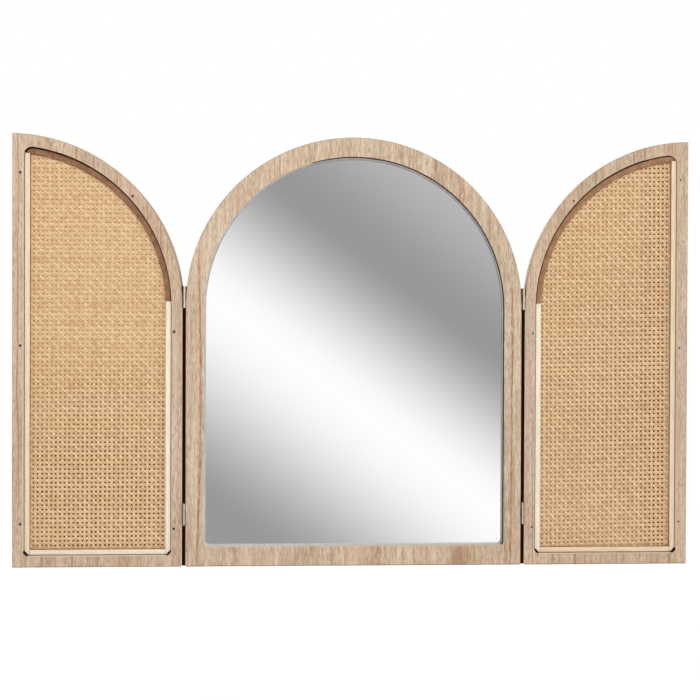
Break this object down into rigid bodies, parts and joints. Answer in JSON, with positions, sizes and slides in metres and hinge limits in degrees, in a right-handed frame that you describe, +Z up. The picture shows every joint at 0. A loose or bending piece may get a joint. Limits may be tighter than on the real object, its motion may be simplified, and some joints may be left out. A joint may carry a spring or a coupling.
{
  "type": "arched window mirror with cane shutters",
  "caption": "Arched wall mirror in an oak-veneered frame, with cane-panelled shutters that swing shut over the glass on butt hinges.",
  "frame": {"origin": "midpoint between the centres of the two keyholes, on the wall plane at the back of the frame", "axes": "+Z up, +X to the right as seen from the front, and the front faces -Y, so the wall is the plane y = 0"},
  "size_m": [0.804, 0.0204, 0.51],
  "materials": {
    "oak_veneer": "pale limed oak veneer on board, matt, grain upright",
    "mirror": "silvered glass, polished",
    "hardboard": "brown hardboard, smooth face out",
    "steel": "zinc-plated",
    "brass": "plated brass, satin",
    "cane": "natural woven cane, slightly glossy skin",
    "pale_wood": "cream softwood strip, smooth",
    "fibreboard": "bare cut edge of brown fibreboard"
  },
  "bodies": {
    "mirror": {"mirror_frame": "oak_veneer", "mirror_glass": "mirror", "backboard": "hardboard", "glazing_points": "steel", "left_keyhole_hanger": "steel", "right_keyhole_hanger": "steel", "hanger_screws": "steel", "left_upper_frame_leaf": "brass", "left_upper_hinge_pin": "steel", "left_lower_frame_leaf": "brass", "left_lower_hinge_pin": "steel", "left_frame_hinge_screws": "brass", "right_upper_frame_leaf": "brass", "right_upper_hinge_pin": "steel", "right_lower_frame_leaf": "brass", "right_lower_hinge_pin": "steel", "right_frame_hinge_screws": "brass"},
    "left_shutter": {"left_outer_frame": "oak_veneer", "left_inner_frame": "oak_veneer", "left_cane_panel": "cane", "left_edge_bead": "pale_wood", "left_bottom_bead": "pale_wood", "left_hinge_bead": "pale_wood", "left_arch_bead": "fibreboard", "left_brads": "steel", "left_upper_shutter_leaf": "brass", "left_lower_shutter_leaf": "brass", "left_shutter_hinge_screws": "brass"},
    "right_shutter": {"right_outer_frame": "oak_veneer", "right_inner_frame": "oak_veneer", "right_cane_panel": "cane", "right_edge_bead": "pale_wood", "right_bottom_bead": "pale_wood", "right_hinge_bead": "pale_wood", "right_arch_bead": "fibreboard", "right_brads": "steel", "right_upper_shutter_leaf": "brass", "right_lower_shutter_leaf": "brass", "right_shutter_hinge_screws": "brass"}
  },
  "joints": [
    {"name": "left_shutter_hinge", "type": "hinge", "parent": "mirror", "child": "left_shutter", "pos_m": [-0.202, -0.0186, 0], "axis": [0, 0, 1], "range_deg": [0, 180]},
    {"name": "right_shutter_hinge", "type": "hinge", "parent": "mirror", "child": "right_shutter", "pos_m": [0.202, -0.0186, 0], "axis": [0, 0, -1], "range_deg": [0, 180]}
  ]
}
